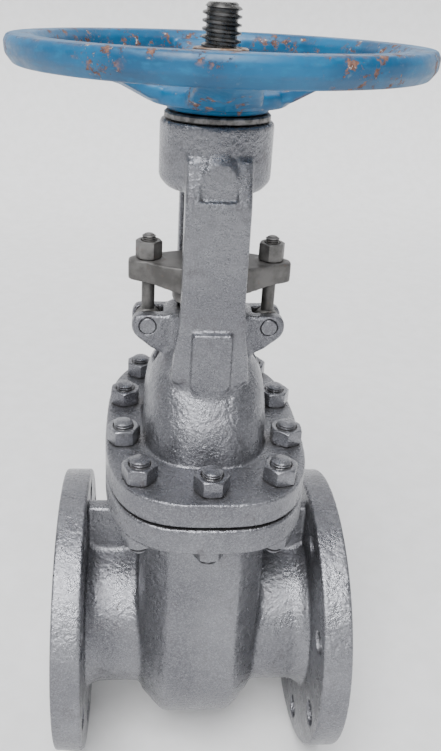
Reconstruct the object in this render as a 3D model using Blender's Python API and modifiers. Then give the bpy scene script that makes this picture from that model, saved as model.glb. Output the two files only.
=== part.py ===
"""Cast-steel gate valve, DN 100 (NPS 4), class 150, outside screw and yoke with a rising stem.

Metres, +Z up along the stem, +X along the flow, -Y towards the front yoke arm.
The origin is where the flow axis crosses the stem axis. The wedge is closed.
"""

import math

import bmesh
import bpy
from mathutils import Matrix, Vector

MM = 0.001
GAP = 0.3 * MM  # between pieces that touch

# Pipe flanges, ASME B16.5 NPS 4 class 150, and the face-to-face length of ASME B16.10
FLANGE_R = 114.5 * MM
FACE_TO_FACE = 229.0 * MM
FLANGE_RIM = 22.3 * MM  # thickness without the raised face
RAISED_FACE = 1.6 * MM
RAISED_FACE_R = 78.6 * MM
BOLT_CIRCLE_R = 95.25 * MM
FLANGE_HOLE_R = 9.525 * MM
FLANGE_HOLES = 8
PORT_R = 51.0 * MM
NECK_R = 63.3 * MM

# Body bowl: half of its plan outline, as (x, y), and how much deeper than wide its bottom is
BOWL_OUTLINE = [(0, 83), (26, 82.5), (34, 76), (44, 66), (48, 55)]
CAVITY_OUTLINE = [(0, 73), (22, 72.5), (29, 67), (35, 57), (36, 48)]
BOWL_DEPTH = 93.0 / 83.0

# Bonnet joint: a flange of superellipse outline, with ten stud bolts
JOINT_A = 75.5 * MM
JOINT_B = 114.5 * MM
JOINT_POWER = 3.0
BODY_FLANGE_Z = (142.6 * MM, 162.2 * MM)
GASKET_Z = (162.5 * MM, 164.1 * MM)
BONNET_FLANGE_Z = (164.4 * MM, 183.0 * MM)
STUD_PLACES = [(0, -95.5), (49, -82), (61.5, -30.5), (61.5, 30.5), (49, 82),
               (0, 95.5), (-49, 82), (-61.5, 30.5), (-61.5, -30.5), (-49, -82)]
STUD_R = 7.0 * MM
STUD_HOLE_R = 7.9 * MM
STUD_Z = (122.0 * MM, 200.0 * MM)
STUD_NUT_FLATS = 22.0 * MM
STUD_NUT_HEIGHT = 12.0 * MM

# Wedge and seats
SEAT_ANGLE = math.radians(5.0)
SEAT_X = 26.0 * MM  # seat face on the flow axis
SEAT_BACK_X = 43.0 * MM
SEAT_R = 60.0 * MM
WEDGE_R = 59.0 * MM

# Stem: 26 mm trapezoidal left-hand thread, 5 mm lead
STEM_R = 12.7 * MM
THREAD_R = 13.0 * MM
THREAD_ROOT_R = 10.4 * MM
THREAD_LEAD = 5.0 * MM
THREAD_Z = (318.0 * MM, 489.6 * MM)
BACKSEAT_R = 17.0 * MM

# Stuffing box and gland
BOX_R = 31.0 * MM
BOX_BORE_R = 21.3 * MM
BOX_TOP_Z = 280.0 * MM
PACKING_Z = (222.4 * MM, 261.6 * MM)
GLAND_BOLT_X = 44.6 * MM
GLAND_FLANGE_Z = (302.0 * MM, 317.0 * MM)
PIN_Z = 269.3 * MM
PIN_R = 6.0 * MM
EYEBOLT_R = 5.0 * MM
EYEBOLT_TOP_Z = 335.0 * MM
GLAND_NUT_FLATS = 17.0 * MM
GLAND_NUT_HEIGHT = 13.0 * MM
LUG_HALF_WIDTH = 16.0 * MM
LUG_SLOT = 6.2 * MM

# Yoke, its hub, and the stem nut that turns in it
ARM_HALF_WIDTH = 22.0 * MM
ARM_Y = (30.0 * MM, 46.0 * MM)
HUB_R = 39.0 * MM
HUB_Z = (370.5 * MM, 416.5 * MM)
ARM_RAMP_Z = (365.5 * MM, 394.5 * MM)
SLEEVE_BOTTOM_Z = 368.4 * MM
SLEEVE_COLLAR_R = 30.0 * MM
SLEEVE_TOP_R = 19.0 * MM
SLEEVE_TOP_Z = 462.0 * MM
RETAINER_R = 36.2 * MM
RETAINER_TOP_Z = 421.4 * MM

# Handwheel
WHEEL_SPOKES = 4
WHEEL_HUB_Z = (422.0 * MM, 443.0 * MM)
WHEEL_NUT_FLATS = 50.0 * MM

SILVER = ((0.52, 0.53, 0.56), 0.42, 0.65)
STEEL = ((0.20, 0.19, 0.18), 0.38, 0.9)
BARE_CAST = ((0.19, 0.17, 0.155), 0.55, 0.6)
BLUE = ((0.02, 0.20, 0.45), 0.45, 0.0)
RUST = ((0.22, 0.11, 0.07), 0.75, 0.2)
STAINLESS = ((0.55, 0.55, 0.56), 0.3, 1.0)
GRAPHITE = ((0.05, 0.05, 0.055), 0.7, 0.1)

ALONG_X = Matrix.Rotation(math.pi / 2, 4, "Y")
ALONG_Y = Matrix.Rotation(math.pi / 2, 4, "X")


# Scene, materials and collections

def clear_scene():
    for item in list(bpy.data.objects):
        bpy.data.objects.remove(item, do_unlink=True)


def new_collection(name):
    group = bpy.data.collections.new(name)
    bpy.context.scene.collection.children.link(group)
    return group


def finish_part(item, name, look):
    """Name a part, give it its material and smooth its round faces."""
    item.name = name
    item.data.name = name
    colour, roughness, metallic = look
    surface = bpy.data.materials.new(name + "_material")
    surface.use_nodes = True
    shader = surface.node_tree.nodes["Principled BSDF"]
    shader.inputs["Base Color"].default_value = (*colour, 1.0)
    shader.inputs["Roughness"].default_value = roughness
    shader.inputs["Metallic"].default_value = metallic
    item.data.materials.clear()
    item.data.materials.append(surface)
    item.data.shade_smooth()
    item.data.set_sharp_from_angle(angle=math.radians(32))
    return item


# Shapes

def mesh_object(name, shape):
    mesh = bpy.data.meshes.new(name)
    shape.to_mesh(mesh)
    shape.free()
    item = bpy.data.objects.new(name, mesh)
    PARTS.objects.link(item)
    return item


def box(name, low, high):
    shape = bmesh.new()
    bmesh.ops.create_cube(shape, size=1.0)
    low = Vector(low)
    high = Vector(high)
    size = high - low
    place = Matrix.Translation((low + high) / 2) @ Matrix.Diagonal((*size, 1.0))
    bmesh.ops.transform(shape, matrix=place, verts=shape.verts)
    return mesh_object(name, shape)


def rod(name, radius, start, end, turn=None, sides=12):
    """A cylinder between two heights of its own axis, turned by a matrix."""
    shape = bmesh.new()
    bmesh.ops.create_cone(shape, cap_ends=True, segments=sides, radius1=radius, radius2=radius,
                          depth=end - start)
    place = Matrix.Translation((0, 0, (start + end) / 2))
    bmesh.ops.transform(shape, matrix=(turn or Matrix()) @ place, verts=shape.verts)
    return mesh_object(name, shape)


def turned(name, profile, sides=32, turn=None):
    """A profile of (radius, height) points, run down its outer side, screwed about Z."""
    mesh = bpy.data.meshes.new(name)
    points = [(radius, 0.0, height) for radius, height in profile]
    closed = profile[0][0] > 0 and profile[-1][0] > 0
    edges = [(i, i + 1) for i in range(len(points) - 1)]
    if closed:
        edges.append((len(points) - 1, 0))
    mesh.from_pydata(points, edges, [])
    item = bpy.data.objects.new(name, mesh)
    PARTS.objects.link(item)
    screw = item.modifiers.new("turn", "SCREW")
    screw.axis = "Z"
    screw.steps = sides
    screw.render_steps = sides
    screw.use_merge_vertices = True
    screw.merge_threshold = 0.00001
    screw.use_normal_calculate = False
    apply_modifiers(item)
    if turn:
        item.data.transform(turn)
    return item


def apply_modifiers(item):
    """Replace an object's mesh by its evaluated one."""
    bpy.context.view_layer.update()
    graph = bpy.context.evaluated_depsgraph_get()
    made = bpy.data.meshes.new_from_object(item.evaluated_get(graph))
    item.modifiers.clear()
    item.data = made
    return item


def plate(name, outline, start, end, turn=None):
    """A flat outline of (u, v) points, extruded from start to end along its normal, then turned."""
    curve = bpy.data.curves.new(name, "CURVE")
    curve.dimensions = "2D"
    curve.fill_mode = "BOTH"
    curve.extrude = (end - start) / 2
    spline = curve.splines.new("POLY")
    spline.points.add(len(outline) - 1)
    for point, (u, v) in zip(spline.points, outline):
        point.co = (u, v, 0, 1)
    spline.use_cyclic_u = True
    sketch = bpy.data.objects.new(name, curve)
    PARTS.objects.link(sketch)
    bpy.context.view_layer.update()
    graph = bpy.context.evaluated_depsgraph_get()
    mesh = bpy.data.meshes.new_from_object(sketch.evaluated_get(graph))
    bpy.data.objects.remove(sketch, do_unlink=True)
    shape = bmesh.new()
    shape.from_mesh(mesh)
    bmesh.ops.remove_doubles(shape, verts=shape.verts, dist=0.00001)
    place = (turn or Matrix()) @ Matrix.Translation((0, 0, (start + end) / 2))
    bmesh.ops.transform(shape, matrix=place, verts=shape.verts)
    bmesh.ops.recalc_face_normals(shape, faces=shape.faces)
    return mesh_object(name, shape)


def loft(name, rings):
    """Rings of equal point counts joined by quads, with both ends closed."""
    shape = bmesh.new()
    loops = [[shape.verts.new(point) for point in ring] for ring in rings]
    for lower, upper in zip(loops, loops[1:]):
        for i in range(len(lower)):
            j = (i + 1) % len(lower)
            shape.faces.new((lower[i], lower[j], upper[j], upper[i]))
    shape.faces.new(list(reversed(loops[0])))
    shape.faces.new(loops[-1])
    bmesh.ops.recalc_face_normals(shape, faces=shape.faces)
    return mesh_object(name, shape)


def combine(target, tool, operation):
    """Join, cut or intersect a part with a tool, which stays in the cutters' collection."""
    for group in list(tool.users_collection):
        group.objects.unlink(tool)
    CUTTERS.objects.link(tool)
    tool.hide_render = True
    tool.display_type = "WIRE"
    step = target.modifiers.new(operation.lower(), "BOOLEAN")
    step.operation = operation
    step.solver = "EXACT"
    step.object = tool


def join(target, *tools):
    for tool in tools:
        combine(target, tool, "UNION")


def cut(target, *tools):
    for tool in tools:
        combine(target, tool, "DIFFERENCE")


def gather(*items):
    """Put several shapes that don't touch into one, to be used as a single tool."""
    shape = bmesh.new()
    for item in items:
        shape.from_mesh(item.data)
    for item in items[1:]:
        bpy.data.objects.remove(item, do_unlink=True)
    shape.to_mesh(items[0].data)
    shape.free()
    return items[0]


def moved(item, x=0.0, y=0.0, z=0.0):
    item.data.transform(Matrix.Translation((x, y, z)))
    return item


# Outlines

def superellipse(a, b, power, count, z=None):
    """Points of |x/a|^n + |y/b|^n = 1, counter-clockwise, starting half a step from +X."""
    points = []
    for i in range(count):
        t = 2 * math.pi * (i + 0.5) / count
        c = math.cos(t)
        s = math.sin(t)
        x = a * math.copysign(abs(c) ** (2 / power), c)
        y = b * math.copysign(abs(s) ** (2 / power), s)
        points.append((x, y) if z is None else (x, y, z))
    return points


def mirrored_four_ways(quarter):
    """A closed outline from its quarter, given from the +Y axis towards the +X side, in millimetres."""
    right = [(x * MM, y * MM) for x, y in quarter]
    lower_right = [(x, -y) for x, y in reversed(right)]
    half = right + lower_right
    left = [(-x, y) for x, y in reversed(half) if x > 0]
    return list(reversed(half + left))


def round_about_x(name, quarter, depth, sides):
    """The quarter outline turned about the flow axis, made deeper than wide by a factor."""
    profile = [(y * MM, x * MM) for x, y in quarter]
    lower = [(radius, -height) for radius, height in profile if height > 0]
    run = [(0.0, profile[-1][1])] + list(reversed(profile)) + lower + [(0.0, -profile[-1][1])]
    item = turned(name, run, sides, ALONG_X)
    item.data.transform(Matrix.Diagonal((0.995, 0.998, depth, 1.0)))
    return item


def hexagon(name, flats, hole_r, start, end, place=(0.0, 0.0), hole_sides=12):
    """A nut's blank with a plain hole: flats face front and back."""
    corner_r = flats / math.sqrt(3)
    nut = rod(name, corner_r, start, end, Matrix.Rotation(math.radians(30), 4, "Z"), 6)
    hole = rod(name + "_hole", hole_r, start - 2 * MM, end + 2 * MM, None, hole_sides)
    for item in (nut, hole):
        moved(item, place[0], place[1])
    cut(nut, hole)
    return nut


# Pressure shell

def stud_holes(z_low, z_high):
    return gather(*[moved(rod("stud_holes", STUD_HOLE_R, z_low, z_high, None, 12), x * MM, y * MM)
                    for x, y in STUD_PLACES])


def make_body():
    face = FACE_TO_FACE / 2
    rim_out = face - RAISED_FACE
    rim_in = rim_out - FLANGE_RIM
    side = [(0.0, face), (RAISED_FACE_R, face), (RAISED_FACE_R, rim_out), (FLANGE_R, rim_out),
            (FLANGE_R, rim_in), (70 * MM, rim_in), (65.5 * MM, rim_in - 2.5 * MM), (NECK_R, rim_in - 8 * MM)]
    other_side = [(radius, -x) for radius, x in reversed(side)]
    body = turned("body", side + other_side, 36, ALONG_X)

    join(body, round_about_x("bowl_bottom", BOWL_OUTLINE, BOWL_DEPTH, 24))
    join(body, plate("bowl_sides", mirrored_four_ways(BOWL_OUTLINE), -6 * MM, 150 * MM))
    joint_outline = superellipse(JOINT_A, JOINT_B, JOINT_POWER, 36)
    join(body, plate("body_flange", joint_outline, *BODY_FLANGE_Z))
    ribs = []
    for side_sign in (-1, 1):
        ends = sorted((side_sign * 40 * MM, side_sign * (rim_in + 2 * MM)))
        ribs.append(box("neck_ribs", (ends[0], -8 * MM, 57 * MM), (ends[1], 8 * MM, 104 * MM)))
    join(body, gather(*ribs))

    pocket_x = SEAT_BACK_X + GAP
    pocket_r = SEAT_R + GAP
    bore = [(0.0, face + 5 * MM), (PORT_R, face + 5 * MM), (PORT_R, pocket_x), (pocket_r, pocket_x),
            (pocket_r, -pocket_x), (PORT_R, -pocket_x), (PORT_R, -face - 5 * MM), (0.0, -face - 5 * MM)]
    cut(body, turned("port", bore, 28, ALONG_X))
    cut(body, round_about_x("cavity_bottom", CAVITY_OUTLINE, BOWL_DEPTH, 20))
    cut(body, plate("cavity", mirrored_four_ways(CAVITY_OUTLINE), -5 * MM, 170 * MM))
    guides = []
    for front_sign in (-1, 1):
        ends = sorted((front_sign * 61.5 * MM, front_sign * 76 * MM))
        guides.append(box("guide_ribs", (-4 * MM, ends[0], -30 * MM), (4 * MM, ends[1], 150 * MM)))
    join(body, gather(*guides))
    cut(body, stud_holes(135 * MM, 168 * MM))
    holes = []
    for i in range(FLANGE_HOLES):
        angle = 2 * math.pi * (i + 0.5) / FLANGE_HOLES
        for side_sign in (-1, 1):
            ends = sorted((side_sign * (rim_in - 4 * MM), side_sign * (rim_out + 4 * MM)))
            hole = rod("flange_holes", FLANGE_HOLE_R, *ends, ALONG_X, 12)
            holes.append(moved(hole, 0, BOLT_CIRCLE_R * math.sin(angle), BOLT_CIRCLE_R * math.cos(angle)))
    cut(body, gather(*holes))
    return finish_part(body, "body", SILVER)


def make_gasket():
    gasket = plate("gasket", superellipse(51.5 * MM, 85.5 * MM, 2.6, 28), *GASKET_Z)
    cut(gasket, plate("gasket_opening", mirrored_four_ways(CAVITY_OUTLINE), 155 * MM, 170 * MM))
    return finish_part(gasket, "bonnet_gasket", GRAPHITE)


def dome_rings(levels, count):
    return [superellipse(a * MM, b * MM, power, count, z * MM) for z, a, b, power in levels]


def yoke_arm(front_sign):
    """One yoke arm: its side outline, sloping in to the hub at the top, extruded across."""
    inner, outer = ARM_Y
    ramp_low, ramp_high = ARM_RAMP_Z
    side = [(inner, 236 * MM), (outer, 236 * MM), (outer, ramp_low), (38.4 * MM, ramp_high),
            (inner, ramp_high)]
    side = [(front_sign * y, z) for y, z in side]
    across = Matrix(((0, 0, 1, 0), (1, 0, 0, 0), (0, 1, 0, 0), (0, 0, 0, 1)))
    return plate("arm", side, -ARM_HALF_WIDTH, ARM_HALF_WIDTH, across)


def arched_block(front_sign):
    """The arched block at the head of a yoke arm, its round top sloping back on to the hub."""
    rings = []
    for reach, centre_z in ((30, 387.5), (39, 387.5), (45, 375.0)):
        arc = [(12 * math.cos(math.radians(a)), centre_z + 12 * math.sin(math.radians(a)))
               for a in range(0, 181, 30)]
        outline = [(-12, 367.0), (12, 367.0)] + arc
        rings.append([(x * MM, front_sign * reach * MM, z * MM) for x, z in outline])
    return loft("arched_block", rings)


def on_front_view(name, outline, y_low, y_high):
    """An outline of (x, z) millimetres in the front view, extruded along Y."""
    points = [(x * MM, z * MM) for x, z in outline]
    upright = Matrix(((1, 0, 0, 0), (0, 0, 1, 0), (0, 1, 0, 0), (0, 0, 0, 1)))
    return plate(name, points, y_low, y_high, upright)


def make_bonnet():
    joint_outline = superellipse(JOINT_A, JOINT_B, JOINT_POWER, 36)
    bonnet = plate("bonnet", joint_outline, *BONNET_FLANGE_Z)
    dome = [(176, 48, 72, 2.8), (186, 47, 70, 2.8), (204, 46.5, 65, 2.7), (218, 45.5, 58, 2.6),
            (230, 43, 51.5, 2.5), (240, 38, 44, 2.3), (248, 33, 36, 2.1), (254, 29, 29, 2.0)]
    lug_r = 11.6
    bolt_x = GLAND_BOLT_X / MM
    pin_z = PIN_Z / MM
    nose = [(bolt_x + lug_r * math.cos(math.radians(a)), pin_z + lug_r * math.sin(math.radians(a)))
            for a in (41, 20, 0, -22, -44)]
    lug = [(18, 277), (bolt_x + 4, 277.4)] + nose + [(42.5, 252.5), (28, 245), (18, 239)]
    flare = [(-21.6, 302), (-24, 276), (-30, 258), (-37, 238), (37, 238), (30, 258), (24, 276), (21.6, 302)]
    lugs = []
    arms = []
    feet = []
    pads = []
    for sign in (-1, 1):
        lugs.append(on_front_view("lugs", [(sign * x, z) for x, z in lug], -LUG_HALF_WIDTH, LUG_HALF_WIDTH))
        arms.append(yoke_arm(sign))
        y_low, y_high = sorted((sign * (ARM_Y[0] + 1 * MM), sign * (ARM_Y[1] - 1 * MM)))
        feet.append(on_front_view("arm_feet", flare, y_low, y_high))
        pad_low, pad_high = sorted((sign * 38 * MM, sign * 51 * MM))
        pads.append(box("arm_pads", (-13.5 * MM, pad_low, 231 * MM), (13.5 * MM, pad_high, 277 * MM)))
    hub_low, hub_high = HUB_Z
    hub = [(0.0, hub_high), (HUB_R, hub_high), (HUB_R, hub_low + 6.1 * MM), (33.5 * MM, hub_low),
           (0.0, hub_low)]
    join(bonnet, gather(*pads), gather(*feet), turned("hub", hub, 36), loft("dome", dome_rings(dome, 24)))
    join(bonnet, rod("stuffing_box", BOX_R, 235 * MM, BOX_TOP_Z, None, 24), gather(*lugs), gather(*arms))
    join(bonnet, gather(arched_block(-1), arched_block(1)))

    recesses = []
    slots = []
    pin_holes = []
    for sign in (-1, 1):
        recess_low, recess_high = sorted((sign * 42.3 * MM, sign * 52 * MM))
        recesses.append(box("arm_recesses", (-12.3 * MM, recess_low, 369 * MM),
                            (12.3 * MM, recess_high, 403 * MM)))
        slot_x = sorted((sign * 33.4 * MM, sign * 62 * MM))
        slots.append(box("lug_slots", (slot_x[0], -LUG_SLOT, 235 * MM), (slot_x[1], LUG_SLOT, 290 * MM)))
        hole = rod("pin_holes", PIN_R + GAP, -20 * MM, 20 * MM, ALONG_Y, 16)
        pin_holes.append(moved(hole, sign * GLAND_BOLT_X, 0, PIN_Z))
    inside = [(160, 36, 62, 3.0), (186, 36, 57, 3.0), (200, 34.5, 47, 2.8), (210, 30, 34, 2.4),
              (214, 26, 27, 2.0)]
    cut(bonnet, gather(*recesses), gather(*slots), gather(*pin_holes))
    cut(bonnet, loft("inside", dome_rings(inside, 20)))
    bores = [(0.0, 290 * MM), (BOX_BORE_R, 290 * MM), (BOX_BORE_R, 222 * MM), (20 * MM, 222 * MM),
             (20 * MM, 205 * MM), (0.0, 205 * MM)]
    collar_r = SLEEVE_COLLAR_R + GAP
    seats = [(0.0, 425 * MM), (collar_r, 425 * MM), (collar_r, 380 * MM), (24.3 * MM, 380 * MM),
             (24.3 * MM, 360 * MM), (0.0, 360 * MM)]
    half_step = Matrix.Rotation(math.radians(7.5), 4, "Z")
    cut(bonnet, turned("packing_bore", bores, 24, half_step), turned("sleeve_bore", seats, 24, half_step))
    cut(bonnet, stud_holes(160 * MM, 187 * MM))
    return finish_part(bonnet, "bonnet", SILVER)


def make_bonnet_bolting():
    """Ten through studs, each with a nut above the bonnet flange and one below the body flange."""
    top_z = BONNET_FLANGE_Z[1] + GAP
    bottom_z = BODY_FLANGE_Z[0] - GAP
    for i, (x, y) in enumerate(STUD_PLACES, start=1):
        place = (x * MM, y * MM)
        stud = moved(rod("stud", STUD_R, *STUD_Z, None, 12), *place)
        finish_part(stud, f"bonnet_stud_{i:02d}", SILVER)
        upper = hexagon("nut", STUD_NUT_FLATS, STUD_R + 0.6 * MM, top_z, top_z + STUD_NUT_HEIGHT, place)
        finish_part(upper, f"bonnet_nut_{i:02d}", SILVER)
        low_z = bottom_z - STUD_NUT_HEIGHT
        lower = hexagon("nut", STUD_NUT_FLATS, STUD_R + 0.6 * MM, low_z, bottom_z, place)
        finish_part(lower, f"body_nut_{i:02d}", SILVER)


# Wedge, seats and stem

def tilted_block(name, side_sign, x_on_axis, away):
    """A large block whose near face is the seat plane: it leans out 5 degrees towards the top."""
    reach = 120 * MM
    block = box(name, (0, -reach, -reach), (reach, reach, reach))
    if (side_sign > 0) != away:
        block.data.transform(Matrix.Diagonal((-1, 1, 1, 1)))
        block.data.flip_normals()
    block.data.transform(Matrix.Rotation(side_sign * SEAT_ANGLE, 4, "Y"))
    return moved(block, side_sign * x_on_axis)


def make_seats():
    for side_sign, name in ((-1, "seat_ring_inlet"), (1, "seat_ring_outlet")):
        ends = sorted((side_sign * 15 * MM, side_sign * SEAT_BACK_X))
        ring = rod(name, SEAT_R, *ends, ALONG_X, 28)
        cut(ring, rod("seat_bore", PORT_R, -60 * MM, 60 * MM, ALONG_X, 28))
        cut(ring, tilted_block("seat_plane", side_sign, SEAT_X, away=False))
        finish_part(ring, name, STAINLESS)


def make_wedge():
    wedge = rod("wedge", WEDGE_R, -50 * MM, 50 * MM, ALONG_X, 28)
    for side_sign in (-1, 1):
        cut(wedge, tilted_block("wedge_plane", side_sign, SEAT_X - 0.4 * MM, away=True))
    for front_sign in (-1, 1):
        ear_y = sorted((front_sign * 48 * MM, front_sign * 68.4 * MM))
        join(wedge, box("guide_ear", (-12 * MM, ear_y[0], -20 * MM), (12 * MM, ear_y[1], 28 * MM)))
    join(wedge, box("stem_boss", (-20 * MM, -24 * MM, 40 * MM), (20 * MM, 24 * MM, 84 * MM)))
    for front_sign in (-1, 1):
        slot_y = sorted((front_sign * 60.8 * MM, front_sign * 75 * MM))
        cut(wedge, box("guide_slot", (-4.7 * MM, slot_y[0], -40 * MM), (4.7 * MM, slot_y[1], 40 * MM)))
    cut(wedge, box("tee_slot", (-30 * MM, -16.5 * MM, 59.6 * MM), (30 * MM, 16.5 * MM, 68.4 * MM)))
    cut(wedge, box("tee_throat", (-30 * MM, -10.6 * MM, 60 * MM), (30 * MM, 10.6 * MM, 90 * MM)))
    return finish_part(wedge, "wedge", STAINLESS)


def thread_body(low, high, sides):
    """A left-hand trapezoidal thread as one wound surface, closed by a fan of faces at each end."""
    flank = 0.95 * MM
    crest = THREAD_LEAD / 2 - flank
    profile = [(THREAD_ROOT_R, 0.0), (THREAD_R, flank), (THREAD_R, flank + crest),
               (THREAD_ROOT_R, 2 * flank + crest), (THREAD_ROOT_R, THREAD_LEAD)]
    mesh = bpy.data.meshes.new("thread")
    points = [(radius, 0.0, height) for radius, height in profile]
    mesh.from_pydata(points, [(i, i + 1) for i in range(len(points) - 1)], [])
    thread = bpy.data.objects.new("thread", mesh)
    PARTS.objects.link(thread)
    screw = thread.modifiers.new("wind", "SCREW")
    screw.axis = "Z"
    screw.angle = -2 * math.pi
    screw.screw_offset = THREAD_LEAD
    screw.iterations = math.ceil((high - low) / THREAD_LEAD)
    screw.steps = sides
    screw.render_steps = sides
    screw.use_merge_vertices = True
    screw.merge_threshold = 0.00001
    apply_modifiers(thread)
    shape = bmesh.new()
    shape.from_mesh(thread.data)
    bmesh.ops.remove_doubles(shape, verts=shape.verts, dist=0.00001)
    top = max(vert.co.z for vert in shape.verts)
    open_edges = [edge for edge in shape.edges if edge.is_boundary]
    for middle in (THREAD_LEAD / 2, top - THREAD_LEAD / 2):
        centre = shape.verts.new((0.0, 0.0, middle))
        for edge in open_edges:
            if abs(edge.verts[0].co.z - middle) < THREAD_LEAD:
                shape.faces.new((edge.verts[0], edge.verts[1], centre))
    bmesh.ops.recalc_face_normals(shape, faces=shape.faces)
    bmesh.ops.translate(shape, verts=shape.verts, vec=(0, 0, low))
    shape.to_mesh(thread.data)
    shape.free()
    return thread


def make_stem():
    bottom, top = THREAD_Z
    stem = thread_body(bottom - 2 * THREAD_LEAD, top + 2 * THREAD_LEAD, 10)
    beyond = THREAD_R + 1 * MM
    envelope = [(0.0, top), (THREAD_ROOT_R - 2 * MM, top), (beyond, top - 6 * MM), (beyond, bottom + 5 * MM),
                (9 * MM, bottom), (0.0, bottom)]
    half_step = Matrix.Rotation(math.radians(7.5), 4, "Z")
    combine(stem, turned("thread_ends", envelope, 24, half_step), "INTERSECT")
    shaft = [(0.0, bottom + 4 * MM), (9.3 * MM, bottom + 4 * MM), (STEM_R, bottom + 0.6 * MM),
             (STEM_R, 96 * MM), (BACKSEAT_R, 93 * MM), (BACKSEAT_R, 85 * MM), (10 * MM, 85 * MM),
             (10 * MM, 62 * MM), (0.0, 62 * MM)]
    join(stem, turned("shaft", shaft, 24, half_step))
    join(stem, box("tee_head", (-13 * MM, -16 * MM, 60 * MM), (13 * MM, 16 * MM, 68 * MM)))
    return finish_part(stem, "stem", STEEL)


def make_backseat_bush():
    inner = THREAD_R + 0.6 * MM
    outer = 19.6 * MM
    low = 208 * MM
    high = 221.8 * MM
    profile = [(inner, high), (outer, high), (outer, low), (inner + 2 * MM, low), (inner, low + 2 * MM)]
    return finish_part(turned("bush", profile, 24), "backseat_bush", STAINLESS)


# Packing and gland

def make_packing():
    low, high = PACKING_Z
    inner = THREAD_R + 0.3 * MM
    outer = BOX_BORE_R - 0.5 * MM
    profile = [(inner, high), (outer, high), (outer, low), (inner, low)]
    return finish_part(turned("packing", profile, 24), "packing_set", GRAPHITE)


def make_gland_follower():
    inner = THREAD_R + 0.7 * MM
    outer = BOX_BORE_R - 0.5 * MM
    low = PACKING_Z[1] + GAP
    lip_low = 287.5 * MM
    high = 296.4 * MM
    profile = [(inner, high), (24.5 * MM, high), (27 * MM, high - 2.5 * MM), (27 * MM, lip_low),
               (outer, lip_low), (outer, low), (inner, low)]
    return finish_part(turned("follower", profile, 24), "gland_follower", STEEL)


def oval_outline(half_length, end_r, mid_half_width, steps):
    """An oval with round ends and a fuller middle, counter-clockwise, from the right end."""
    centre = half_length - end_r
    angles = [math.radians(-90 + 180 * i / steps) for i in range(steps + 1)]
    right = [(centre + end_r * math.cos(a), end_r * math.sin(a)) for a in angles]
    left = [(-x, -y) for x, y in right]
    return right + [(18 * MM, mid_half_width), (-18 * MM, mid_half_width)] + left + [
        (-18 * MM, -mid_half_width), (18 * MM, -mid_half_width)]


def make_gland_flange():
    low, high = GLAND_FLANGE_Z
    plan = oval_outline(59.5 * MM, 14 * MM, 25.5 * MM, 6)
    flange = plate("gland_flange", plan, 296.7 * MM, high)
    under = [(-62, 290), (-62, 302), (-42, 300.5), (-22, 296.7), (22, 296.7), (42, 300.5), (62, 302),
             (62, 290)]
    cut(flange, on_front_view("underside", under, -40 * MM, 40 * MM))
    cut(flange, rod("stem_hole", THREAD_R + 1.6 * MM, 280 * MM, 330 * MM, None, 16))
    for side_sign in (-1, 1):
        hole = rod("bolt_hole", EYEBOLT_R + 0.9 * MM, 280 * MM, 330 * MM, None, 12)
        cut(flange, moved(hole, side_sign * GLAND_BOLT_X))
    return finish_part(flange, "gland_flange", BARE_CAST)


def make_gland_bolting():
    eye_half_width = LUG_SLOT - 0.6 * MM
    for side_sign, side in ((-1, "left"), (1, "right")):
        x = side_sign * GLAND_BOLT_X
        bolt = rod("eyebolt", EYEBOLT_R, PIN_Z + 5 * MM, EYEBOLT_TOP_Z, None, 12)
        moved(bolt, x)
        eye = rod("eye", 9.8 * MM, -eye_half_width, eye_half_width, ALONG_Y, 16)
        join(bolt, moved(eye, x, 0, PIN_Z))
        hole = rod("eye_hole", PIN_R + GAP, -20 * MM, 20 * MM, ALONG_Y, 16)
        cut(bolt, moved(hole, x, 0, PIN_Z))
        finish_part(bolt, "eyebolt_" + side, STEEL)

        half_pin = LUG_HALF_WIDTH + 0.2 * MM
        pin = moved(rod("pin", PIN_R, -half_pin, half_pin, ALONG_Y, 16), x, 0, PIN_Z)
        finish_part(pin, "eyebolt_pin_" + side, SILVER)

        low = GLAND_FLANGE_Z[1] + GAP
        high = low + GLAND_NUT_HEIGHT
        nut = hexagon("nut", GLAND_NUT_FLATS, EYEBOLT_R + 0.6 * MM, low, high, (x, 0.0))
        nut.data.transform(Matrix.Translation((-x, 0, 0)))
        for step in nut.modifiers:
            step.object.data.transform(Matrix.Translation((-x, 0, 0)))
            step.object.location = (x, 0, 0)
        nut.location = (x, 0, 0)
        finish_part(nut, "gland_nut_" + side, STEEL)


# Stem nut and handwheel

def make_yoke_sleeve():
    bore = THREAD_R + 0.6 * MM
    profile = [(bore, SLEEVE_TOP_Z), (SLEEVE_TOP_R - 1.5 * MM, SLEEVE_TOP_Z),
               (SLEEVE_TOP_R, SLEEVE_TOP_Z - 1.5 * MM), (SLEEVE_TOP_R, 421.7 * MM), (22 * MM, 421.7 * MM),
               (22 * MM, 392 * MM), (SLEEVE_COLLAR_R, 392 * MM), (SLEEVE_COLLAR_R, 380.3 * MM),
               (24 * MM, 380.3 * MM), (24 * MM, SLEEVE_BOTTOM_Z), (bore, SLEEVE_BOTTOM_Z)]
    sleeve = turned("sleeve", profile, 24)
    cut(sleeve, box("keyway", (-3.3 * MM, 15.9 * MM, 424 * MM), (3.3 * MM, 24 * MM, 470 * MM)))
    return finish_part(sleeve, "yoke_sleeve", RUST)


def make_retainer():
    spigot_r = SLEEVE_COLLAR_R - 0.1 * MM
    bore = 22.5 * MM
    flange_low = HUB_Z[1] + GAP
    profile = [(bore, RETAINER_TOP_Z), (RETAINER_R, RETAINER_TOP_Z), (RETAINER_R, flange_low),
               (spigot_r, flange_low), (spigot_r, 392.4 * MM), (bore, 392.4 * MM)]
    return finish_part(turned("retainer", profile, 24), "yoke_sleeve_retainer", STEEL)


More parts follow.
